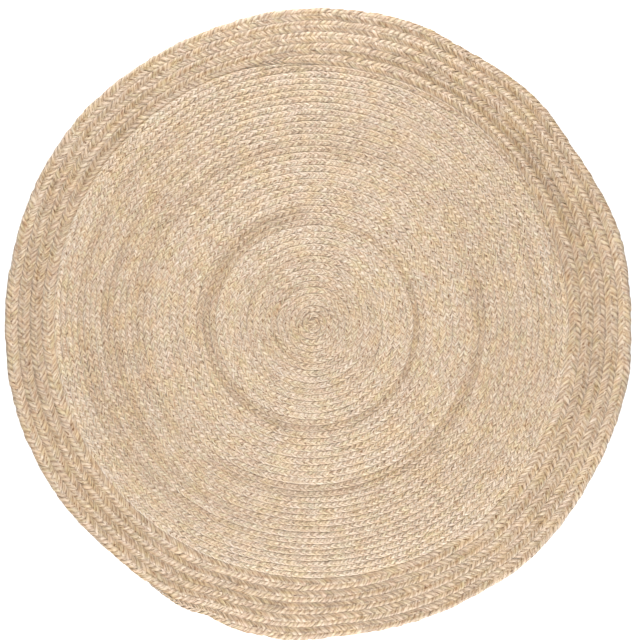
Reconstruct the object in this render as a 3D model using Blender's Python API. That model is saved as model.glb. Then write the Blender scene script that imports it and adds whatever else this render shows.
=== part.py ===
"""Round jute rug, about 1.5 m across, lying flat on a floor.

A flat three-strand plait is coiled clockwise from the middle and laced edge to edge: that is the
field. A second plait, twice as wide, is sewn on where the first one ends and goes more than four
and a half times round it: that is the border. Each coil is one solid, flat underneath, with its
rows raised on the upper face.

A direction is in degrees, anticlockwise from +X as seen from above. A turn count says how often
a plait has gone round since it began, so the outer edge of a row is the inner edge of the row
one turn later.
"""

import math

import bmesh
import bpy
from mathutils import Vector
from mathutils.geometry import delaunay_2d_cdt

MM = 0.001

# The plaits. Each end is narrowed to nothing along its neighbour and sewn down.
THICKNESS = 9.0 * MM  # one strand over another
BORDER_THICKNESS = 10.0 * MM
JOIN_DIRECTION = 110.0  # the border's plait begins here, beside the end of the field's
TAPER_TURNS = 0.075
FIELD_TURNS = 42.0 + TAPER_TURNS
BORDER_TURNS = 4.66  # ends at the lower left
PIECE_GAP = 0.3 * MM

# Width of the field's rows: (from_turn, row_width_mm). Each change takes ROW_WIDTH_EASE turns.
FIELD_ROWS = (
    (0.0, 14.8),
    (17.0, 16.2),
    (26.5, 14.8),
)
ROW_WIDTH_EASE = 1.0

# Reach of the two coils from the middle of the coil: (direction, field_edge_mm, rim_mm).
REACH = (
    (0, 613, 761),
    (16, 615, 765),
    (33, 617, 752),
    (45, 618, 759),
    (61, 619, 752),
    (69, 619, 759),
    (84, 620, 757),
    (97, 628, 754),
    (110, 634, 746),
    (125, 632, 746),
    (139, 631, 748),
    (152, 628, 744),
    (163, 626, 739),
    (180, 622, 737),
    (197, 619, 740),
    (215, 616, 737),
    (230, 613, 730),
    (239, 611, 739),
    (245, 610, 748),
    (250, 609, 743),
    (255, 608, 752),
    (266, 609, 758),
    (275, 610, 750),
    (290, 612, 754),
    (303, 617, 758),
    (312, 619, 767),
    (325, 615, 763),
    (338, 613, 762),
    (350, 612, 766),
)
FIELD_EDGE = 1  # columns of REACH
RIM = 2

# Heights of the upper face.
GROOVE_HEIGHT = 5.8 * MM  # where two rows of the field are laced together
BORDER_GROOVE_HEIGHT = 5.2 * MM
BORDER_MIDDLE_HEIGHT = 8.6 * MM  # dip along the middle of the wide plait, between its crests
RIM_HEIGHT = 4.2 * MM  # top of the outermost edge

# Lines along a row: (share_of_the_row_width, height).
FIELD_LINES = ((0.5, THICKNESS),)
BORDER_LINES = (
    (0.25, BORDER_THICKNESS),
    (0.5, BORDER_MIDDLE_HEIGHT),
    (0.75, BORDER_THICKNESS),
)

# How finely the round lines are drawn.
CHORD_ERROR = 0.8 * MM
FEWEST_POINTS_A_TURN = 12
OUTLINE_POINTS = 72
HEART_TURNS = 1.0  # the coil's heart is a plain button
CLEAR_OF_EDGE = 4.0 * MM  # a line keeps this far from its solid's own edges
LEAST_FULLNESS = 0.35  # and a plait's end narrower than this share has no lines of its own
SAME_POINT = 1e-6

# Finish.
FIELD_COLOUR = "#d8c0a5"
BORDER_COLOUR = "#d1b698"
JUTE_ROUGHNESS = 0.92
SMOOTH_BELOW = math.radians(30)


def ease(share):
    """0 up to 0, 1 from 1 on, and smooth between."""
    share = min(max(share, 0.0), 1.0)
    return share * share * (3.0 - 2.0 * share)


def reach_row(index, column):
    """Direction and length, in metres, of a row of REACH, whose rows follow each other round."""
    laps, index = divmod(index, len(REACH))
    return REACH[index][0] + 360.0 * laps, REACH[index][column] * MM


def reach(direction, column):
    """A column of REACH in any direction, on a smooth closed curve through its rows."""
    direction %= 360.0
    here = sum(row[0] <= direction for row in REACH) - 1
    (a, ra), (b, rb), (c, rc), (d, rd) = (reach_row(here + step, column) for step in (-1, 0, 1, 2))
    t = (direction - b) / (c - b)
    rise_b = (rc - ra) / (c - a) * (c - b)
    rise_c = (rd - rb) / (d - b) * (c - b)
    from_b = rb * (1 + 2 * t) * (1 - t) ** 2 + rise_b * t * (1 - t) ** 2
    from_c = rc * t**2 * (3 - 2 * t) - rise_c * t**2 * (1 - t)
    return from_b + from_c


def direction_of(turns):
    """The direction of a plait at a turn count: both go clockwise from the join's direction."""
    return JOIN_DIRECTION - 360.0 * turns


def field_row_width(turns):
    """The field's plait begins at the middle, where its first turn widens from nothing."""
    width = FIELD_ROWS[0][1] * MM
    for from_turn, row_width_mm in FIELD_ROWS[1:]:
        width += (row_width_mm * MM - width) * ease((turns - from_turn) / ROW_WIDTH_EASE)
    return width * min(turns, 1.0) * ease((FIELD_TURNS - turns) / TAPER_TURNS)


def border_row_width(turns):
    """The border's rows share out the room that they have, so this is 1 for a whole row."""
    return ease(turns / TAPER_TURNS) * ease((BORDER_TURNS - turns) / TAPER_TURNS)


def outer_edge(turns, row_width):
    """How far out the row at a turn count reaches: the widths of all rows up to it."""
    return sum(row_width(turns - back) for back in range(int(turns) + 1))


def coil_width(turns, all_turns, row_width):
    """The same for the last row in that direction."""
    first = turns % 1.0
    return outer_edge(first + int(all_turns - first), row_width)


def field_radius(turns, share):
    """Radius of a point that lies this share of the width across the row at a turn count."""
    nominal = outer_edge(turns, field_row_width) - (1 - share) * field_row_width(turns)
    whole = coil_width(turns, FIELD_TURNS, field_row_width)
    stretch = reach(direction_of(turns), FIELD_EDGE) / whole - 1
    return nominal * (1 + stretch * (nominal / whole) ** 2)


def border_radius(turns, share):
    """The same in the border, whose rows lie between the field's edge and the rim."""
    rows = outer_edge(turns, border_row_width) - (1 - share) * border_row_width(turns)
    whole = coil_width(turns, BORDER_TURNS, border_row_width)
    direction = direction_of(turns)
    inner = reach(direction, FIELD_EDGE) + PIECE_GAP
    return inner + (reach(direction, RIM) - inner) * rows / whole


def place(radius, direction, height):
    angle = math.radians(direction)
    return Vector((radius * math.cos(angle), radius * math.sin(angle), height))


def outline(column, outset, height):
    """A closed line of points along one column of REACH."""
    directions = [360.0 * i / OUTLINE_POINTS for i in range(OUTLINE_POINTS)]
    return [place(reach(direction, column) + outset, direction, height) for direction in directions]


def row_line(first_turn, all_turns, radius_of, row_width, share, height, groove_height, clear):
    """Points along the rows, from the first turn on, at one share of the rows' width.

    Where the plait tapers, the line comes down to the groove.
    """
    points = []
    turns = first_turn
    while turns < all_turns:
        radius = radius_of(turns, share)
        fullness = min(row_width(turns) / row_width(max(turns % 1.0, TAPER_TURNS) + 1.0), 1.0)
        crest = groove_height + (height - groove_height) * fullness
        point = place(radius, direction_of(turns), crest)
        drawn = fullness > LEAST_FULLNESS and clear(point)
        points.append(point if drawn else None)
        points_a_turn = math.pi * math.sqrt(radius / (2 * CHORD_ERROR))
        turns += 1 / max(points_a_turn, FEWEST_POINTS_A_TURN)
    return points


def radius_and_direction(point):
    return math.hypot(point.x, point.y), math.degrees(math.atan2(point.y, point.x))


def coil_mesh(name, outer, inner, lines, heart):
    """A closed mesh: an upper face through all the lines, walls down to z = 0, and a flat underside.

    outer and inner are closed lines, and inner is empty for a whole disc. A None parts a line.
    """
    points = list(outer) + list(inner) + list(heart)
    loops = [range(len(outer)), range(len(outer), len(outer) + len(inner))]
    edges = [(loop[i - 1], loop[i]) for loop in loops for i in range(len(loop))]
    for line in lines:
        for before, point in zip([None] + line, line):
            if point is None:
                continue
            if before is not None:
                edges.append((len(points) - 1, len(points)))
            points.append(point)
    flat = [point.to_2d() for point in points]
    found, _, faces, origins, _, _ = delaunay_2d_cdt(flat, edges, [], 1, SAME_POINT)

    bm = bmesh.new()
    verts = [bm.verts.new((at.x, at.y, points[origin[0]].z)) for at, origin in zip(found, origins)]
    for face in faces:
        middle = sum((found[i] for i in face), Vector((0, 0))) / len(face)
        radius, direction = radius_and_direction(middle)
        if not inner or radius > reach(direction, FIELD_EDGE) + PIECE_GAP:
            bm.faces.new([verts[i] for i in face])
    bmesh.ops.delete(bm, geom=[vert for vert in bm.verts if not vert.link_faces], context="VERTS")

    rims = [edge for edge in bm.edges if edge.is_boundary]
    walls = bmesh.ops.extrude_edge_only(bm, edges=rims)["geom"]
    feet = [edge for edge in walls if isinstance(edge, bmesh.types.BMEdge)]
    for vert in [vert for vert in walls if isinstance(vert, bmesh.types.BMVert)]:
        vert.co.z = 0.0
    if inner:
        bmesh.ops.bridge_loops(bm, edges=feet)
    else:
        bmesh.ops.contextual_create(bm, geom=feet)
    bmesh.ops.recalc_face_normals(bm, faces=bm.faces)
    mesh = bpy.data.meshes.new(name)
    bm.to_mesh(mesh)
    bm.free()
    mesh.shade_smooth()
    mesh.set_sharp_from_angle(angle=SMOOTH_BELOW)
    return mesh


def linear(hex_colour):
    """A colour as the shader takes it, from the way it is written for a screen."""
    parts = [int(hex_colour[i : i + 2], 16) / 255 for i in (1, 3, 5)]
    return [c / 12.92 if c <= 0.04045 else ((c + 0.055) / 1.055) ** 2.4 for c in parts] + [1.0]


def jute(name, hex_colour):
    material = bpy.data.materials.new(name)
    material.use_nodes = True
    shader = material.node_tree.nodes["Principled BSDF"]
    shader.inputs["Base Color"].default_value = linear(hex_colour)
    shader.inputs["Roughness"].default_value = JUTE_ROUGHNESS
    shader.inputs["Metallic"].default_value = 0.0
    return material


def middle_of_rug():
    """Middle of the rug's box, which isn't the middle of the coil: the rug is a little uneven."""
    rim = outline(RIM, 0.0, 0.0)
    across = [(min(p[axis] for p in rim) + max(p[axis] for p in rim)) / 2 for axis in (0, 1)]
    return Vector((across[0], across[1], 0.0))


def add_coil(mesh, material, rug):
    coil = bpy.data.objects.new(mesh.name, mesh)
    mesh.materials.append(material)
    bpy.context.scene.collection.objects.link(coil)
    coil.parent = rug
    coil.location = -middle_of_rug()


def inside_field(point):
    radius, direction = radius_and_direction(point)
    return radius < reach(direction, FIELD_EDGE) - CLEAR_OF_EDGE


def inside_border(point):
    radius, direction = radius_and_direction(point)
    inner = reach(direction, FIELD_EDGE) + PIECE_GAP
    return inner + CLEAR_OF_EDGE < radius < reach(direction, RIM) - CLEAR_OF_EDGE


def build_field(rug):
    """The narrow plait, coiled from the heart to the join."""
    lines = [
        row_line(
            HEART_TURNS, FIELD_TURNS, field_radius, field_row_width,
            share, height, GROOVE_HEIGHT, inside_field,
        )
        for share, height in FIELD_LINES + ((1.0, GROOVE_HEIGHT),)
    ]
    edge = outline(FIELD_EDGE, 0.0, GROOVE_HEIGHT)
    mesh = coil_mesh("field_coil", edge, [], lines, [Vector((0, 0, THICKNESS))])
    add_coil(mesh, jute("jute_pale", FIELD_COLOUR), rug)


def build_border(rug):
    """The wide plait, coiled from the join to its tail on the rim."""
    lines = [
        row_line(
            0.0, BORDER_TURNS, border_radius, border_row_width,
            share, height, BORDER_GROOVE_HEIGHT, inside_border,
        )
        for share, height in BORDER_LINES + ((1.0, BORDER_GROOVE_HEIGHT),)
    ]
    rim = outline(RIM, 0.0, RIM_HEIGHT)
    inner = outline(FIELD_EDGE, PIECE_GAP, BORDER_GROOVE_HEIGHT)
    mesh = coil_mesh("border_coil", rim, inner, lines, [])
    add_coil(mesh, jute("jute_tan", BORDER_COLOUR), rug)


for old in list(bpy.data.objects):
    bpy.data.objects.remove(old, do_unlink=True)
rug_root = bpy.data.objects.new("round_jute_rug", None)
bpy.context.scene.collection.objects.link(rug_root)
build_field(rug_root)
build_border(rug_root)
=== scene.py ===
import math

import bmesh
import bpy
import numpy as np
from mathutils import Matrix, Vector


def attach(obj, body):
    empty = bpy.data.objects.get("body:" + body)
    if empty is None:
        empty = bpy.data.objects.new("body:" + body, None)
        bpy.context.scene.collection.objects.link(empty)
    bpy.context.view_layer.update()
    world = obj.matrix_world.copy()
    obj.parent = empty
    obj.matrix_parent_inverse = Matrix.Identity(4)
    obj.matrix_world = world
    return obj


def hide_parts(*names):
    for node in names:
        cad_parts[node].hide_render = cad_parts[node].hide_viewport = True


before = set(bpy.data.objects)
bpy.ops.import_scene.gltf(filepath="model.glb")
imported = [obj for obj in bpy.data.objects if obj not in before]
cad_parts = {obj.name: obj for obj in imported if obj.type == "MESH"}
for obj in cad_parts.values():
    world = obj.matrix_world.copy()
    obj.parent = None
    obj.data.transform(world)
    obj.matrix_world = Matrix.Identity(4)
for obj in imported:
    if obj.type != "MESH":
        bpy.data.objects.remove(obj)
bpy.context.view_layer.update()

# ---------------------------------------------------------------------------------- the field
# A flat plait of three strands of loosely spun jute, 15 mm wide and 81 m long, coiled clockwise
# from the heart with its rows laced edge to edge. Each strand crosses the plait on top, folds
# over its edge and goes back underneath, so the face shows leaf-shaped petals in two columns.

MM = 0.001
JOIN_DIRECTION = 110.0  # where the field's plait ends and the border's begins
TAPER_TURNS = 0.075  # a plait thins out over this much of a turn
TIP_SHARE = 0.2  # of which the last part, thinner than yarn, is left out
FIELD_TURNS = 42.0 + TAPER_TURNS
ROW_WIDTH_EASE = 1.0  # turns over which a row's width goes over into the next one's
FIELD_ROWS = (
    # from_turn, row_width_mm
    (0.0, 14.8),
    (17.0, 16.2),
    (26.5, 14.8),
)
REACH = (
    # direction, field_edge_mm, rim_mm
    (0, 613, 761),
    (16, 615, 765),
    (33, 617, 752),
    (45, 618, 759),
    (61, 619, 752),
    (69, 619, 759),
    (84, 620, 757),
    (97, 628, 754),
    (110, 634, 746),
    (125, 632, 746),
    (139, 631, 748),
    (152, 628, 744),
    (163, 626, 739),
    (180, 622, 737),
    (197, 619, 740),
    (215, 616, 737),
    (230, 613, 730),
    (239, 611, 739),
    (245, 610, 748),
    (250, 609, 743),
    (255, 608, 752),
    (266, 609, 758),
    (275, 610, 750),
    (290, 612, 754),
    (303, 617, 758),
    (312, 619, 767),
    (325, 615, 763),
    (338, 613, 762),
    (350, 612, 766),
)
FIELD_EDGE = 1
RIM = 2
OUTLINE_POINTS = 72

STRAND_REPEAT = 45.0 * MM  # one zigzag of a strand, which holds three petals of each column
STRANDS = 3
BIGHT = (
    # phase_deg, across, height, lean_deg, spread, ahead: from the middle to one edge and back
    (18.0, 0.22, -0.90, -90.0, 1.00, 1.0),
    (76.0, 1.12, -0.55, -25.0, 0.94, -1.0),
    (104.0, 1.12, -0.25, 25.0, 0.94, -1.0),
    (133.0, 0.66, 0.72, 68.0, 1.00, -0.1),
    (162.0, -0.22, 1.00, 90.0, 1.00, 1.0),
)
STRAND_SECTION = (
    # along the plait, up: shares of the strand's spread and thickness
    (-0.50, 0.0),
    (-0.33, 0.48),
    (0.33, 0.48),
    (0.50, 0.0),
    (0.33, -0.48),
    (-0.33, -0.48),
)
FIELD_STRAND_SPREAD = 18.0 * MM  # its width along the plait, just over a petal's pitch
FIELD_STRAND_THICKNESS = 4.4 * MM
FIELD_TILT = math.radians(8.0)  # each crossing lies on the one before it, like a tile
FIELD_LIFT = 1.8 * MM  # how far a strand goes above and below the plait's middle
FIELD_SLANT = 2.8 * MM  # how far each petal's inner end is pulled ahead of its outer one
FIELD_TONE = 0.01  # a little paler than the middle of JUTE_TONES
FIELD_YARN = 3.29 * MM  # how wide each of a strand's yarns lies
FIELD_FIRST_TURN = 0.8  # the coil starts beside the heart
FIELD_PIECES = 4  # the plait comes in lengths, each fed in where the last one thins out
HEART_LENGTH = 34.0 * MM  # the plait's start lies straight, and the coil goes round it
HEART_WIDTH = 15.0 * MM
HEART_TIP_SHARE = 0.45  # of that width, at either end
HEART_TIP = 0.3  # of its length
HEART_STOPS = 9
HEART_RISE = 0.6 * MM
HEART_STRETCHES = ((-1.0, 1.0, -0.5),)  # the columns are those of FIELD_STRETCHES
ROW_WANDER = 0.8 * MM  # how far a row strays from its course
ROW_WANDER_LENGTH = 60.0 * MM
PITCH_WANDER = 4.5 * MM  # how far its petals stray along it
PITCH_WANDER_LENGTH = 100.0 * MM
PETAL_WANDER = 1.6 * MM  # and how far each petal strays from its neighbours
PETAL_WANDER_LENGTH = 0.4 * STRAND_REPEAT
UNEVEN_LENGTH = 0.5 * STRAND_REPEAT  # a strand's width and reach change over this length
UNEVEN_SPREAD = 0.08
UNEVEN_REACH = 0.10
PLUMP_LENGTH = 0.31 * STRAND_REPEAT  # and its thickness over this one
PLUMP = 0.20
PLUMP_LIFT = 0.15
SEEDS_FOR_A_PLAIT = 10  # so that no two plaits are uneven in the same places
PLUMP_SEED, ROW_SEED, PETAL_SEED = 3, 7, 11  # counted from a plait's first seed
THINNEST, FULLEST = 0.12, 1.2  # shares of the full width between which a plait is modelled
FOLD_SHARE = 0.42  # of a strand's thickness, which its fold takes of the row's half width
TILE_POWER = 6  # a crossing is tilted near the plait's middle only
WALK_STEP = 4.5 * MM
SOFT_TURNS = 0.04  # a stretch of other fibre starts and stops over this much of a turn
FIELD_STRETCHES = (
    # from_turn, to_turn, tone: -1 is dark brown fibre, 0 is straw and 1 is bleached
    (0.0, 3.5, -0.15),
    (6.55, 7.1, -0.35),
    (9.1, 10.0, 0.2),
    (10.85, 11.05, -0.3),
    (12.1, 16.4, 0.25),
    (16.5, 17.25, -0.4),
    (17.25, 18.05, -0.7),
    (18.8, 19.05, -0.45),
    (19.1, 26.2, 0.12),
    (26.25, 26.65, -0.5),
    (27.25, 27.65, -0.6),
    (27.7, 28.1, -0.25),
    (28.75, 29.15, -0.3),
    (31.7, 31.8, -0.5),
    (32.6, 32.95, -0.4),
    (33.6, 33.85, -0.3),
    (34.0, 35.4, 0.12),
    (35.6, 35.8, -0.35),
    (36.65, 36.8, -0.3),
    (37.7, 37.95, -0.35),
    (38.2, 41.0, 0.15),
    (41.02, 41.27, -0.5),
    (41.3, 41.98, 0.4),
)
ACROSS, HEIGHT, LEAN, SPREAD, AHEAD = 1, 2, 3, 4, 5  # columns of BIGHT
CHANCES = 4096  # in a random pattern, before it comes round again
FIRST_CHANCE = 7.0
SAME_PLACE = 1e-7  # metres
PLAIT_SIZES = ("full_width", "spread", "thickness", "lift", "slant", "tilt", "hand")
COURSE = ("length", "turns", "width", "x", "y", "out_x", "out_y")
HANK_LENGTH = 90.0  # metres between the strands' places in the fibre pattern


def ease(share):
    """0 up to 0, 1 from 1 on, and smooth between."""
    share = min(max(share, 0.0), 1.0)
    return share * share * (3.0 - 2.0 * share)


def reach_row(index, column):
    """Direction and length, in metres, of a row of REACH, whose rows follow each other round."""
    laps, index = divmod(index, len(REACH))
    return REACH[index][0] + 360.0 * laps, REACH[index][column] * MM


def reach(direction, column):
    """A column of REACH in any direction, on a smooth closed curve through its rows."""
    direction %= 360.0
    here = sum(row[0] <= direction for row in REACH) - 1
    (a, ra), (b, rb), (c, rc), (d, rd) = (reach_row(here + step, column) for step in (-1, 0, 1, 2))
    t = (direction - b) / (c - b)
    rise_b = (rc - ra) / (c - a) * (c - b)
    rise_c = (rd - rb) / (d - b) * (c - b)
    from_b = rb * (1 + 2 * t) * (1 - t) ** 2 + rise_b * t * (1 - t) ** 2
    from_c = rc * t**2 * (3 - 2 * t) - rise_c * t**2 * (1 - t)
    return from_b + from_c


def direction_of(turns):
    """The direction of a plait at a turn count: both go clockwise from the join's direction."""
    return JOIN_DIRECTION - 360.0 * turns


def field_row_width(turns):
    """The field's plait begins at the middle, where its first turn widens from nothing."""
    width = FIELD_ROWS[0][1] * MM
    for from_turn, row_width_mm in FIELD_ROWS[1:]:
        width += (row_width_mm * MM - width) * ease((turns - from_turn) / ROW_WIDTH_EASE)
    return width * min(turns, 1.0) * ease((FIELD_TURNS - turns) / TAPER_TURNS)


def outer_edge(turns, row_width):
    """How far out the row at a turn count reaches: the widths of all rows up to it."""
    return sum(row_width(turns - back) for back in range(int(turns) + 1))


def coil_width(turns, all_turns, row_width):
    """The same for the last row in that direction."""
    first = turns % 1.0
    return outer_edge(first + int(all_turns - first), row_width)


def field_row(turns):
    """Radius of the plait's middle at a turn count, and its width there."""
    width = field_row_width(turns)
    nominal = outer_edge(turns, field_row_width) - width / 2
    whole = coil_width(turns, FIELD_TURNS, field_row_width)
    stretch = reach(direction_of(turns), FIELD_EDGE) / whole - 1
    share = (nominal / whole) ** 2
    return nominal * (1 + stretch * share), width * (1 + 3 * stretch * share)


def middle_of_rug():
    """Middle of the rug's box, which isn't the middle of the coil: the rug is a little uneven."""
    rim = []
    for i in range(OUTLINE_POINTS):
        angle = math.tau * i / OUTLINE_POINTS
        rim.append(reach(math.degrees(angle), RIM) * Vector((math.cos(angle), math.sin(angle))))
    return Vector([(min(p[i] for p in rim) + max(p[i] for p in rim)) / 2 for i in (0, 1)])


COIL_MIDDLE = -middle_of_rug()


def coiled(row, first_turn, last_turn, **sizes):
    """The course of a coiled plait: at each stop its length so far, turn count, width and place."""
    stops = []
    turns = first_turn
    length = 0.0
    while turns < last_turn:
        radius, width = row(turns)
        angle = math.radians(direction_of(turns))
        out_x, out_y = math.cos(angle), math.sin(angle)
        x, y = COIL_MIDDLE.x + radius * out_x, COIL_MIDDLE.y + radius * out_y
        stops.append((length, turns, width, x, y, out_x, out_y))
        stride = min(WALK_STEP, radius / 4)
        length += stride
        turns += stride / (math.tau * radius)
    return {**dict(zip(COURSE, np.array(stops).T)), **sizes}


def straight(length, width, **sizes):
    """The course of a straight length of plait across the coil's middle."""
    places = np.linspace(0.0, length, HEART_STOPS)
    level = np.ones(len(places))
    stops = (0.0, HEART_TIP, 1.0 - HEART_TIP, 1.0)
    shares = (HEART_TIP_SHARE, 1.0, 1.0, HEART_TIP_SHARE)
    widths = width * np.interp(places / length, stops, shares)
    x = COIL_MIDDLE.x + places - length / 2
    course = (places, 0 * level, widths, x, COIL_MIDDLE.y * level, 0 * level, level)
    return {**dict(zip(COURSE, course)), **sizes}


def wander(places, spacing, seed):
    """A smooth unevenness from -1 to 1, which changes about once in each spacing."""
    values = np.random.default_rng(seed).uniform(-1, 1, CHANCES)
    steps = np.asarray(places) / spacing + FIRST_CHANCE
    whole = np.floor(steps).astype(int)
    part = steps - whole
    part = part * part * (3 - 2 * part)
    return values[whole % CHANCES] * (1 - part) + values[(whole + 1) % CHANCES] * part


def bight(phase, column):
    """A column of BIGHT at any phase. The other half of the zigzag mirrors across and lean."""
    mirrored = -1.0 if column in (ACROSS, LEAN) else 1.0
    rows = [(row[0], row[column]) for row in BIGHT]
    rows += [(row[0] + 180.0, mirrored * row[column]) for row in BIGHT]
    places, values = zip(*rows)
    return np.interp(np.degrees(phase), places, values, period=360.0)


def swept(name, runs, radii=None, **settings):
    """A closed tube along each run of points, swept by one of Blender's curves."""
    curve = bpy.data.curves.new(name, "CURVE")
    curve.dimensions = "3D"
    curve.twist_mode = "Z_UP"
    curve.use_fill_caps = True
    curve.bevel_resolution = 0
    for setting, value in settings.items():
        setattr(curve, setting, value)
    for run in runs:
        line = curve.splines.new("POLY")
        line.points.add(len(run) - 1)
        line.points.foreach_set("co", np.insert(run, 3, 1.0, axis=1).astype("f").ravel())
        if radii is not None:
            line.points.foreach_set("radius", radii)
        line.use_smooth = True
    holder = bpy.data.objects.new(name, curve)
    bpy.context.scene.collection.objects.link(holder)
    graph = bpy.context.evaluated_depsgraph_get()
    mesh = bpy.data.meshes.new_from_object(holder.evaluated_get(graph), depsgraph=graph)
    bpy.data.objects.remove(holder)
    bpy.data.curves.remove(curve)
    return mesh


def straight_strand(name, places, spread, thickness):
    """A straight strand of STRAND_SECTION with a ring at each place."""
    section = bpy.data.curves.new(name + "_section", "CURVE")
    section.dimensions = "2D"
    outline = section.splines.new("POLY")
    outline.points.add(len(STRAND_SECTION) - 1)
    for point, (along, up) in zip(outline.points, STRAND_SECTION):
        point.co = (along * spread, up * thickness, 0.0, 1.0)
    outline.use_cyclic_u = True
    holder = bpy.data.objects.new(section.name, section)
    bpy.context.scene.collection.objects.link(holder)
    run = np.stack((places, 0 * places, 0 * places), axis=1)
    mesh = swept(name, [run], bevel_mode="OBJECT", bevel_object=holder)
    bpy.data.objects.remove(holder)
    bpy.data.curves.remove(section)
    return mesh


def plaited(points, strand, plait):
    """Moves a straight strand's points to where they lie in the coiled plait.

    Each ring keeps to the plait's own direction, so a strand folds over at the edge as a ribbon
    does. On top it nears the middle where hand is 1, and leaves it where hand is -1.
    """
    place, along, up = points.T
    hand, seed = plait["hand"], SEEDS_FOR_A_PLAIT * plait["seed"]
    width = np.interp(place, plait["length"], plait["width"])
    full = np.clip(width / plait["full_width"], THINNEST, FULLEST)
    phase = hand * math.tau * place / STRAND_REPEAT + math.tau * strand / STRANDS
    uneven = wander(place, UNEVEN_LENGTH, seed + strand)
    plump = wander(place, PLUMP_LENGTH, seed + PLUMP_SEED + strand)

    up = up * np.sqrt(full) * (1 + PLUMP * plump)
    spread = bight(phase, SPREAD) * (1 + UNEVEN_SPREAD * uneven)
    along = hand * along * np.sqrt(np.minimum(full, 1.0)) * spread
    lean = np.radians(bight(phase, LEAN))
    tilt = hand * plait["tilt"] * np.cos(phase) ** TILE_POWER

    half_width = width / 2 - FOLD_SHARE * plait["thickness"] * np.sqrt(full)
    across = half_width * bight(phase, ACROSS) * (1 + UNEVEN_REACH * uneven) + up * np.cos(lean)
    across += ROW_WANDER * full * wander(place, ROW_WANDER_LENGTH, seed + ROW_SEED)
    lift = plait["lift"] * np.sqrt(full) * bight(phase, HEIGHT) * (1 + PLUMP_LIFT * plump)
    height = plait["middle_height"] + lift + up * np.sin(lean) - along * np.sin(tilt)
    ahead = hand * plait["slant"] * full * bight(phase, AHEAD)
    ahead += PETAL_WANDER * wander(place, PETAL_WANDER_LENGTH, seed + PETAL_SEED + strand)
    ahead += PITCH_WANDER * wander(place, PITCH_WANDER_LENGTH, plait["seed"])
    place = place + ahead + along * np.cos(tilt)
    x, y, out_x, out_y = (
        np.interp(place, plait["length"], plait[part]) for part in ("x", "y", "out_x", "out_y")
    )
    return np.stack((x + across * out_x, y + across * out_y, np.maximum(height, 0.0)), axis=1)


def mark(mesh, fibre_x, fibre_y, tone):
    """Writes on every corner its place along and round the strand, in metres, and its tone."""
    mesh.uv_layers[0].name = "fibre"
    mesh.uv_layers[0].data.foreach_set("uv", np.stack((fibre_x, fibre_y), 1).astype("f").ravel())
    mesh.attributes.new("tone", "FLOAT", "CORNER").data.foreach_set("value", tone.astype("f"))


def crossing_slope(plait):
    """The angle at which a strand crosses its plait."""
    return math.atan2(plait["full_width"] / 2, STRAND_REPEAT / 4)


def cut_place(cut, strand, plait):
    """Where a strand ends at a cut in its plait: just after it has gone underneath."""
    if not 0.0 < cut < plait["length"][-1]:
        return cut
    shift = plait["hand"] * (BIGHT[0][0] / 360.0 - strand / STRANDS)
    return (math.ceil(cut / STRAND_REPEAT - shift) + shift) * STRAND_REPEAT


def strand_mesh(name, strand, start, end, plait):
    """One strand of a length of plait, with its place in the fibre and its tone on every corner."""
    phases = [row[0] + half for half in (0.0, 180.0) for row in BIGHT]
    cycles = np.arange(math.floor(start / STRAND_REPEAT) - 2, math.ceil(end / STRAND_REPEAT) + 3)
    shares = plait["hand"] * (np.array(phases) / 360.0 - strand / STRANDS)
    places = np.sort(np.add.outer(cycles, shares).ravel() * STRAND_REPEAT)
    start, end = cut_place(start, strand, plait), cut_place(end, strand, plait)
    places = places[(places > start - SAME_PLACE) & (places < end + SAME_PLACE)]
    mesh = straight_strand(name, places, plait["spread"], plait["thickness"])

    points = np.empty(len(mesh.vertices) * 3, np.float32)
    mesh.vertices.foreach_get("co", points)
    points = points.reshape(-1, 3).astype(float)
    corners = np.empty(len(mesh.loops), np.int32)
    mesh.loops.foreach_get("vertex_index", corners)
    around = np.empty(len(mesh.loops) * 2, np.float32)
    mesh.uv_layers[0].data.foreach_get("uv", around)
    around = around.reshape(-1, 2)[:, 1]

    place = points[corners, 0]
    turns = np.interp(place, plait["length"], plait["turns"])
    slope = crossing_slope(plait)
    fibre_x = place / math.cos(slope) + (STRANDS * plait["seed"] + strand) * HANK_LENGTH
    fibre_y = around * 2 * plait["spread"] * math.sin(slope)
    mark(mesh, fibre_x, fibre_y, stretch_tone(turns, plait["stretches"]))
    moved = plaited(points, strand, plait)
    mesh.vertices.foreach_set("co", moved.ravel())
    ring = moved[2 * len(STRAND_SECTION) :].reshape(-1, len(STRAND_SECTION), 3).mean(axis=1)
    return mesh, float(np.linalg.norm(np.diff(ring, axis=0), axis=1).sum())


def stretch_tone(turns, stretches):
    """The tone that the table gives at turn counts, soft where a stretch starts and stops."""
    tone = np.zeros(len(turns))
    for from_turn, to_turn, shift in stretches:
        begun = np.clip((turns - from_turn) / SOFT_TURNS + 0.5, 0, 1)
        left = np.clip((to_turn - turns) / SOFT_TURNS + 0.5, 0, 1)
        tone += shift * begun * left
    return tone


def linear(hex_colour):
    """A colour as the shader takes it, from the way it is written for a screen."""
    parts = [int(hex_colour[i : i + 2], 16) / 255 for i in (1, 3, 5)]
    return [c / 12.92 if c <= 0.04045 else ((c + 0.055) / 1.055) ** 2.4 for c in parts] + [1.0]


def put(tree, kind, inputs=None, stops=(), **settings):
    """Adds a node: settings are its own, and each input is given a value or linked to a socket.

    A colour ramp also gets its stops, each a place and a hex colour.
    """
    node = tree.nodes.new(kind)
    for name, value in settings.items():
        setattr(node, name, value)
    for name, value in (inputs or {}).items():
        if isinstance(value, bpy.types.NodeSocket):
            tree.links.new(value, node.inputs[name])
        else:
            node.inputs[name].default_value = value
    for index, (place, colour) in enumerate(stops):
        elements = node.color_ramp.elements
        element = elements[index] if index < len(elements) else elements.new(1.0)
        element.position, element.color = place, linear(colour)
    return node


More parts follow.
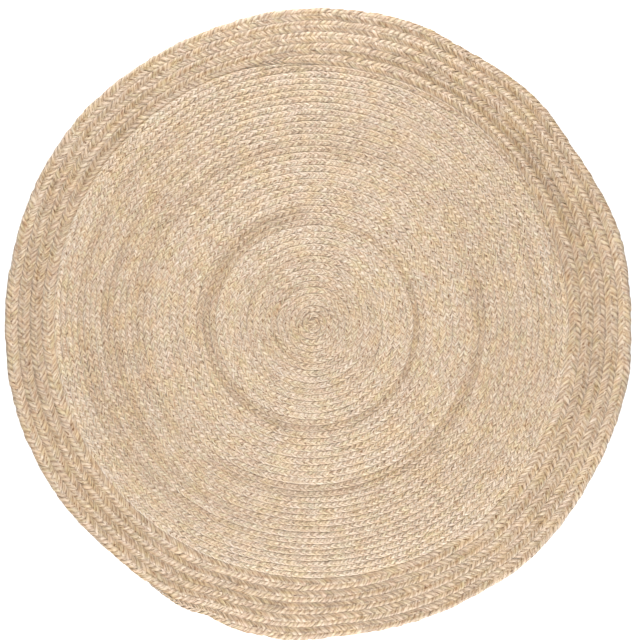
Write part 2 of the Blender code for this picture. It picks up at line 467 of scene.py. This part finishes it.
FIBRE_PATTERNS = {
    # name: (length_mm, across_mm, detail, weight in the tone); across 0 is the same all round
    "hank": (300.0, 0.0, 2.0, 0.18),
    "petals": (16.0, 0.0, 1.0, 0.14),
    "clumps": (5.5, 5.0, 1.0, 0.26),
    "bundles": (9.0, 3.2, 1.0, 0.18),
    "streaks": (12.0, 0.9, 2.0, 0.42),
    "batch": (90.0, 0.0, 1.0, 0.0),
    "bark": (5.0, 2.4, 1.0, 0.0),
}
PATTERN_STARTS = {"petals": 11.0, "batch": 23.0}  # metres, so that no two run alike
STRETCH_WEIGHT = 0.17
AGED_PATCH = 38.0 * MM
YARN_TWIST = 0.22
YARN_SWAY = 0.8  # of a yarn's width
YARN_RELIEF = 1.0 * MM  # coarser than the real one, so that it shows a step away
STREAK_RELIEF = 0.6 * MM
JUTE_TONES = (
    (0.05, "#6f5638"),
    (0.25, "#917b60"),
    (0.42, "#ab957b"),
    (0.55, "#baa790"),
    (0.70, "#c6b8a6"),
    (0.95, "#d5ccc2"),
)
BATCH_TINTS = ((0.30, "#f8fcf4"), (0.5, "#ffffff"), (0.70, "#fffaf9"))
AGED_TINTS = ((0.32, "#fffcf0"), (0.5, "#ffffff"), (0.68, "#fafbff"))
BARK_COLOUR = "#745434"
BARK_STOPS = ((0.67, "#000000"), (0.72, "#ffffff"))
# painted shade: the colour darkens towards the line between two yarns, where they shade each other
YARN_PAINTED_SHADE = ((0.0, "#c8b6a2"), (0.5, "#ffffff"))


def jute(name, base_tone, yarn_width):
    """Dry plant fibre: straw to brown from strand to strand, with fine streaks along it.

    The eye gets pale and tan petals side by side, each of a few slack yarns with a line of
    painted shade between them, dark bits of bark, patches aged yellower or greyer, and the lustre
    that fibres have where light comes from across them.
    """
    material = bpy.data.materials.new(name)
    material.use_nodes = True
    tree = material.node_tree
    shader = tree.nodes["Principled BSDF"]

    fibre = put(tree, "ShaderNodeUVMap", uv_map="fibre").outputs["UV"]
    parts = put(tree, "ShaderNodeSeparateXYZ", {"Vector": fibre})
    along, around = parts.outputs["X"], parts.outputs["Y"]
    tone = put(tree, "ShaderNodeAttribute", attribute_name="tone").outputs["Fac"]
    total = put(
        tree, "ShaderNodeMath", {0: tone, 1: STRETCH_WEIGHT, 2: 0.5 + base_tone},
        operation="MULTIPLY_ADD",
    ).outputs[0]

    patterns = {}
    for pattern, (length_mm, across_mm, detail, weight) in FIBRE_PATTERNS.items():
        if across_mm:
            scales = (1 / (length_mm * MM), 1 / (across_mm * MM), 1.0)
            scaled = put(tree, "ShaderNodeVectorMath", {0: fibre, 1: scales}, operation="MULTIPLY")
            noise = put(
                tree, "ShaderNodeTexNoise",
                {"Vector": scaled.outputs[0], "Scale": 1.0, "Detail": detail},
                noise_dimensions="2D",
            )
        else:
            begun = PATTERN_STARTS.get(pattern, 0.0)
            moved = put(tree, "ShaderNodeMath", {0: along, 1: begun}, operation="ADD")
            noise = put(
                tree, "ShaderNodeTexNoise",
                {"W": moved.outputs[0], "Scale": 1 / (length_mm * MM), "Detail": detail},
                noise_dimensions="1D",
            )
        patterns[pattern] = noise.outputs["Fac"]
        if weight:
            level = put(
                tree, "ShaderNodeMath", {0: patterns[pattern], 1: 0.5}, operation="SUBTRACT"
            )
            total = put(
                tree, "ShaderNodeMath", {0: level.outputs[0], 1: weight, 2: total},
                operation="MULTIPLY_ADD",
            ).outputs[0]

    colour = put(tree, "ShaderNodeValToRGB", {"Fac": total}, JUTE_TONES).outputs["Color"]
    place = put(tree, "ShaderNodeTexCoord").outputs["Object"]
    aged = put(
        tree, "ShaderNodeTexNoise", {"Vector": place, "Scale": 1 / AGED_PATCH, "Detail": 1.0}
    ).outputs["Fac"]
    for pattern, tints in ((patterns["batch"], BATCH_TINTS), (aged, AGED_TINTS)):
        tint = put(tree, "ShaderNodeValToRGB", {"Fac": pattern}, tints).outputs["Color"]
        colour = put(
            tree, "ShaderNodeMix", {0: 1.0, 6: colour, 7: tint},
            data_type="RGBA", blend_type="MULTIPLY",
        ).outputs[2]
    bark = put(tree, "ShaderNodeValToRGB", {"Fac": patterns["bark"]}, BARK_STOPS).outputs["Color"]
    flecked = put(
        tree, "ShaderNodeMix", {0: bark, 6: colour, 7: linear(BARK_COLOUR)},
        data_type="RGBA", blend_type="MIX",
    ).outputs[2]

    twisted = put(
        tree, "ShaderNodeMath", {0: along, 1: YARN_TWIST, 2: around}, operation="MULTIPLY_ADD"
    ).outputs[0]
    swayed = put(
        tree, "ShaderNodeMath",
        {0: patterns["bundles"], 1: YARN_SWAY * yarn_width, 2: twisted},
        operation="MULTIPLY_ADD",
    ).outputs[0]
    folded = put(
        tree, "ShaderNodeMath", {0: swayed, 1: 0.5 * yarn_width}, operation="PINGPONG"
    ).outputs[0]
    yarn = put(
        tree, "ShaderNodeMath", {0: folded, 1: 0.5 * yarn_width}, operation="DIVIDE"
    ).outputs[0]
    # painted shade between the yarns, multiplied into the fibre's colour
    between = put(tree, "ShaderNodeValToRGB", {"Fac": yarn}, YARN_PAINTED_SHADE).outputs["Color"]
    shaded = put(
        tree, "ShaderNodeMix", {0: 1.0, 6: flecked, 7: between},
        data_type="RGBA", blend_type="MULTIPLY",
    ).outputs[2]
    tree.links.new(shaded, shader.inputs["Base Color"])

    rounded = put(tree, "ShaderNodeMath", {0: yarn, 1: 0.5}, operation="POWER").outputs[0]
    yarns = put(
        tree, "ShaderNodeBump", {"Strength": 0.7, "Distance": YARN_RELIEF, "Height": rounded}
    ).outputs["Normal"]
    relief = put(
        tree, "ShaderNodeBump",
        {
            "Strength": 0.7,
            "Distance": STREAK_RELIEF,
            "Height": patterns["streaks"],
            "Normal": yarns,
        },
    ).outputs["Normal"]
    tree.links.new(relief, shader.inputs["Normal"])
    lengthwise = put(tree, "ShaderNodeTangent", direction_type="UV_MAP", uv_map="fibre")
    tree.links.new(lengthwise.outputs[0], shader.inputs["Tangent"])
    shader.inputs["Anisotropic"].default_value = 0.9
    shader.inputs["Anisotropic Rotation"].default_value = 0.25  # a quarter turn: across the fibre
    shader.inputs["Roughness"].default_value = 0.56
    shader.inputs["Specular IOR Level"].default_value = 0.85
    shader.inputs["Sheen Weight"].default_value = 0.12
    shader.inputs["Sheen Roughness"].default_value = 0.5
    return material


def add_piece(name, meshes, material, node):
    """Joins meshes into one piece, with its tubes closed and faces outwards, and puts it in place
    of its solid.
    """
    bm = bmesh.new()
    for part in meshes:
        bm.from_mesh(part)
        bpy.data.meshes.remove(part)
    bmesh.ops.remove_doubles(bm, verts=bm.verts, dist=SAME_PLACE)
    if bm.calc_volume(signed=True) < 0:
        bmesh.ops.reverse_faces(bm, faces=bm.faces)
    mesh = bpy.data.meshes.new(name)
    bm.to_mesh(mesh)
    bm.free()
    mesh.shade_smooth()
    mesh.materials.append(material)
    piece = bpy.data.objects.new(name, mesh)
    bpy.context.scene.collection.objects.link(piece)
    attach(piece, "root")
    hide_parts(node)
    return piece


def add_plait(name, plait, start, end, material, node):
    """Makes one length of plait and puts it in the place of its solid."""
    strands = [strand_mesh(name, strand, start, end, plait) for strand in range(STRANDS)]
    meshes, lengths = zip(*strands)
    lain = add_piece(name, meshes, material, node)


field_jute = jute("jute_straw", FIELD_TONE, FIELD_YARN)
field_plait = coiled(
    field_row,
    FIELD_FIRST_TURN,
    FIELD_TURNS - TIP_SHARE * TAPER_TURNS,
    full_width=FIELD_ROWS[0][1] * MM,
    spread=FIELD_STRAND_SPREAD,
    thickness=FIELD_STRAND_THICKNESS,
    lift=FIELD_LIFT,
    slant=FIELD_SLANT,
    tilt=FIELD_TILT,
    middle_height=FIELD_LIFT + 0.5 * FIELD_STRAND_THICKNESS,
    hand=1,
    seed=0,
    stretches=FIELD_STRETCHES,
)
field_start = straight(
    HEART_LENGTH,
    HEART_WIDTH,
    **{part: field_plait[part] for part in PLAIT_SIZES},
    middle_height=field_plait["middle_height"] + HEART_RISE,
    seed=2,
    stretches=HEART_STRETCHES,
)
add_plait("field_start", field_start, 0.0, HEART_LENGTH, field_jute, "field_coil")
field_cuts = np.linspace(0.0, field_plait["length"][-1], FIELD_PIECES + 1)
for number, (start, end) in enumerate(zip(field_cuts, field_cuts[1:]), 1):
    add_plait(
        f"field_plait_{number}", field_plait, start, end, field_jute, "field_coil"
    )

# --------------------------------------------------------------------------------- the border
# The same three-strand plait made twice as wide, 30 mm, and 20 m long. It is sewn on beside the
# thinned end of the field's plait and coiled round it, and it thins out again on the rim. Its
# strands cross the plait more steeply, and its petals point the other way.

BORDER_TURNS = 4.66
PIECE_GAP = 0.3 * MM
BORDER_STRAND_SPREAD = 19.0 * MM
BORDER_STRAND_THICKNESS = 4.2 * MM
BORDER_TILT = math.radians(3.0)
BORDER_LIFT = 2.1 * MM
BORDER_SLANT = 5.6 * MM
BORDER_TONE = -0.095
BORDER_YARN = 5.06 * MM
BORDER_ROW_WIDTH = 29.8 * MM
BORDER_PIECES = 2
BORDER_STRETCHES = (
    # from_turn, to_turn, tone
    (0.32, 0.46, 0.35),
    (0.70, 0.84, 0.30),
    (0.90, 0.96, -0.3),
    (1.10, 1.26, -0.6),
    (1.50, 1.70, -0.2),
    (2.04, 2.09, 0.3),
    (2.50, 2.70, -0.25),
    (3.25, 3.40, 0.2),
    (3.70, 4.05, 0.3),
    (4.12, 4.17, -0.3),
    (4.25, 4.45, 0.4),
    (4.45, 4.60, -0.2),
)


def border_row_width(turns):
    """The border's rows share out the room that they have, so this is 1 for a whole row."""
    return ease(turns / TAPER_TURNS) * ease((BORDER_TURNS - turns) / TAPER_TURNS)


def border_row(turns):
    """Radius of the border plait's middle, and its width, between the field's edge and the rim."""
    share = border_row_width(turns)
    rows = outer_edge(turns, border_row_width) - share / 2
    whole = coil_width(turns, BORDER_TURNS, border_row_width)
    direction = direction_of(turns)
    inner = reach(direction, FIELD_EDGE) + PIECE_GAP
    room = (reach(direction, RIM) - inner) / whole
    return inner + room * rows, room * share


border_jute = jute("jute_tan", BORDER_TONE, BORDER_YARN)
border_plait = coiled(
    border_row,
    TIP_SHARE * TAPER_TURNS,
    BORDER_TURNS - TIP_SHARE * TAPER_TURNS,
    full_width=BORDER_ROW_WIDTH,
    spread=BORDER_STRAND_SPREAD,
    thickness=BORDER_STRAND_THICKNESS,
    lift=BORDER_LIFT,
    slant=BORDER_SLANT,
    tilt=BORDER_TILT,
    middle_height=BORDER_LIFT + 0.5 * BORDER_STRAND_THICKNESS,
    hand=-1,
    seed=1,
    stretches=BORDER_STRETCHES,
)
border_cuts = np.linspace(0.0, border_plait["length"][-1], BORDER_PIECES + 1)
for number, (start, end) in enumerate(zip(border_cuts, border_cuts[1:]), 1):
    add_plait(
        f"border_plait_{number}", border_plait, start, end, border_jute, "border_coil",
    )

# --------------------------------------------------------------------------- the lacing thread
# One jute twine, 2.4 mm thick, laced from row to row through the folds of the strands. It lies low
# in the groove between two rows, so only dark bits of it show from above.

TWINE_RADIUS = 1.2 * MM
TWINE_TONE = -0.30
TWINE_APART = 0.37  # metres between the runs' places in the fibre pattern
STITCH = 7.5 * MM  # from one side of the groove to the other
STITCH_SWAY = 1.5 * MM
TWINE_HEIGHTS = (2.6 * MM, 4.0 * MM)
FIELD_LACED_FROM = 1.3  # turns
TWINE_TIP_SHARE = 0.3  # of a plait's taper that the twine leaves free


def lacing(row, first_turn, last_turn):
    """Points of the twine in the groove along the inner side of a coiled plait's rows."""
    points = []
    turns = first_turn
    while turns < last_turn:
        radius, width = row(turns)
        side = len(points) % 2
        groove = radius - width / 2 + STITCH_SWAY * (2 * side - 1)
        angle = math.radians(direction_of(turns))
        x, y = COIL_MIDDLE.x + groove * math.cos(angle), COIL_MIDDLE.y + groove * math.sin(angle)
        points.append((x, y, TWINE_HEIGHTS[side]))
        turns += STITCH / (math.tau * radius)
    return np.array(points)


def round_mesh(name, runs, radius, tones, radii=None):
    """Round tubes along runs of as many points each, with their place in the fibre and tone.

    Both are shared out in the order of the mesh's corners, where the tubes' ends come first, so a
    fibre can change tone once along its length.
    """
    mesh = swept(name, runs, radii, bevel_depth=radius)
    uv = np.empty(len(mesh.loops) * 2, np.float32)
    mesh.uv_layers[0].data.foreach_get("uv", uv)
    along, around = uv.reshape(-1, 2).T
    lengths = np.array([np.linalg.norm(np.diff(run, axis=0), axis=1).sum() for run in runs])
    owner = np.repeat(np.arange(len(runs)), len(along) // len(runs))
    fibre_x = along * lengths[owner] + TWINE_APART * owner
    mark(mesh, fibre_x, around * math.tau * radius, np.array(tones)[owner])
    return mesh


twine = jute("jute_twine", TWINE_TONE, 0.5 * math.tau * TWINE_RADIUS)
for coil, row, first_turn, all_turns in (
    ("field", field_row, FIELD_LACED_FROM, FIELD_TURNS),
    ("border", border_row, TIP_SHARE * TAPER_TURNS, BORDER_TURNS),
):
    run = lacing(row, first_turn, all_turns - TWINE_TIP_SHARE * TAPER_TURNS)
    laced = round_mesh(coil + "_lacing", [run], TWINE_RADIUS, [0.0])
    add_piece(coil + "_lacing", [laced], twine, coil + "_coil")

# ---------------------------------------------------------------------------- the loose fibres
# Jute sheds: single fibres, 0.3 mm thick and 8 to 28 mm long, stand out of the strands all over
# and fringe the rim. Each has one end in the plait.

FIBRE_RADIUS = 0.16 * MM  # coarser than the real ones, so that they show a step away
FIBRE_LENGTHS = (8.0 * MM, 28.0 * MM)
FIBRE_ROOT = 6.6 * MM
FIBRE_RISE = (1.0 * MM, 3.2 * MM)
FIBRE_ARCH = (0.0, 0.4, 0.7, 0.9)  # of half a circle, at each point along the fibre
FIBRE_TAPER = (1.0, 0.9, 0.8, 0.4)
FIBRE_BEND = 0.5  # radians, to either side
FIBRE_TONE = 0.12
FIBRE_TONES = 1.5  # either way
FIBRE_SEED, FIBRE_TONE_SEED = 34, 35
LOOSE_FIBRES = (
    # place, coil, number, seed, root_from, root_to, heading_deg, heading_spread_deg
    # root: share of the row's half width; heading: from straight outwards
    ("field", "field", 1250, 31, -0.9, 0.9, 90.0, 45.0),
    ("border", "border", 550, 32, -0.9, 0.9, 90.0, 45.0),
    ("rim", "border", 260, 33, 0.7, 0.7, 0.0, 60.0),
)
EVENLY_IN_FIELD = (0.0004, 0.999)  # shares of the field's area


def rooted_at(place, number, seed):
    """Turn counts of the loose fibres' roots: longer rows of the field have more of them."""
    chance = np.random.default_rng(seed)
    if place == "field":
        return (FIELD_TURNS - TAPER_TURNS) * np.sqrt(chance.uniform(*EVENLY_IN_FIELD, number))
    first_turn = BORDER_TURNS - 1.0 if place == "rim" else TAPER_TURNS
    return chance.uniform(first_turn, BORDER_TURNS - TAPER_TURNS, number)


def fibre_run(chance, radius, half_width, angle, root_from, root_to, heading, heading_spread):
    """Four points of a loose fibre: a low arch, bent to one side."""
    share = root_from if root_from == root_to else chance.uniform(root_from, root_to)
    out = np.array((math.cos(angle), math.sin(angle)))
    root = np.array(COIL_MIDDLE) + (radius + share * half_width) * out
    length = chance.uniform(*FIBRE_LENGTHS)
    rise = chance.uniform(*FIBRE_RISE)
    way = angle + math.radians(chance.normal(heading, heading_spread))
    bend = chance.uniform(-FIBRE_BEND, FIBRE_BEND)
    steps = np.arange(len(FIBRE_ARCH)) / (len(FIBRE_ARCH) - 1)
    ways = (way + bend * steps)[1:]
    strides = np.stack((np.cos(ways), np.sin(ways)), axis=1) * length * steps[1]
    flat = root + np.concatenate((np.zeros((1, 2)), np.cumsum(strides, axis=0)))
    return np.column_stack((flat, FIBRE_ROOT + rise * np.sin(math.pi * np.array(FIBRE_ARCH))))


loose = jute("jute_fibre", FIBRE_TONE, math.tau * FIBRE_RADIUS)
for place, coil, number, seed, *growth in LOOSE_FIBRES:
    row = {"field": field_row, "border": border_row}[coil]
    chance = np.random.default_rng(FIBRE_SEED)
    runs = []
    for turns in rooted_at(place, number, seed):
        radius, width = row(turns)
        angle = math.radians(direction_of(turns))
        runs.append(fibre_run(chance, radius, width / 2, angle, *growth))
    tones = np.random.default_rng(FIBRE_TONE_SEED).uniform(-FIBRE_TONES, FIBRE_TONES, len(runs))
    fibres = round_mesh(place + "_fibres", runs, FIBRE_RADIUS, tones, FIBRE_TAPER)
    add_piece(place + "_fibres", [fibres], loose, coil + "_coil")

# ------------------------------------------------------------------------ floor, light, camera
# A plain pale floor, two wide soft lights from the rug's top and bottom, which bring out the
# fibres' lustre there, and the camera straight overhead.

FLOOR_HALF = 6.0
PIXEL = 2.4 * MM
FRAME_PIXELS = 640
CAMERA_OFFSET = (7.0 * PIXEL, 4.0 * PIXEL)  # the frame's middle from the coil's middle
LENS_MM = 100.0
SENSOR_MM = 36.0
SOFTBOX_SIZE = 2.4
SOFTBOX_REACH = 3.3
SOFTBOX_HEIGHT = 1.8
SOFTBOX_WATTS = 255.0
ROOM_LIGHT = 0.50

floor_bm = bmesh.new()
bmesh.ops.create_grid(floor_bm, x_segments=1, y_segments=1, size=FLOOR_HALF)
floor_mesh = bpy.data.meshes.new("floor")
floor_bm.to_mesh(floor_mesh)
floor_bm.free()
floor = bpy.data.objects.new("floor", floor_mesh)
bpy.context.scene.collection.objects.link(floor)
floor_paint = bpy.data.materials.new("floor_white")
floor_paint.use_nodes = True
floor_shader = floor_paint.node_tree.nodes["Principled BSDF"]
floor_shader.inputs["Base Color"].default_value = linear("#f6f6f6")
floor_shader.inputs["Roughness"].default_value = 0.9
floor_shader.inputs["Specular IOR Level"].default_value = 0.1
floor_mesh.materials.append(floor_paint)

for name, side in (("upper_softbox", 1.0), ("lower_softbox", -1.0)):
    light = bpy.data.lights.new(name, "AREA")
    light.shape = "SQUARE"
    light.size = SOFTBOX_SIZE
    light.energy = SOFTBOX_WATTS
    softbox = bpy.data.objects.new(name, light)
    softbox.location = (0.0, side * SOFTBOX_REACH, SOFTBOX_HEIGHT)
    softbox.rotation_euler = (-softbox.location).to_track_quat("-Z", "Y").to_euler()
    bpy.context.scene.collection.objects.link(softbox)

world = bpy.data.worlds.new("studio")
bpy.context.scene.world = world
world.use_nodes = True
background = world.node_tree.nodes["Background"]
background.inputs["Color"].default_value = linear("#ffffff")
background.inputs["Strength"].default_value = ROOM_LIGHT

lens = bpy.data.cameras.new("camera")
lens.lens = LENS_MM
lens.sensor_width = SENSOR_MM
lens.clip_end = 50.0
camera = bpy.data.objects.new("camera", lens)
camera.location = (
    COIL_MIDDLE.x + CAMERA_OFFSET[0],
    COIL_MIDDLE.y + CAMERA_OFFSET[1],
    FRAME_PIXELS * PIXEL * LENS_MM / SENSOR_MM,
)
bpy.context.scene.collection.objects.link(camera)
bpy.context.scene.camera = camera
bpy.context.scene.view_settings.view_transform = "Standard"
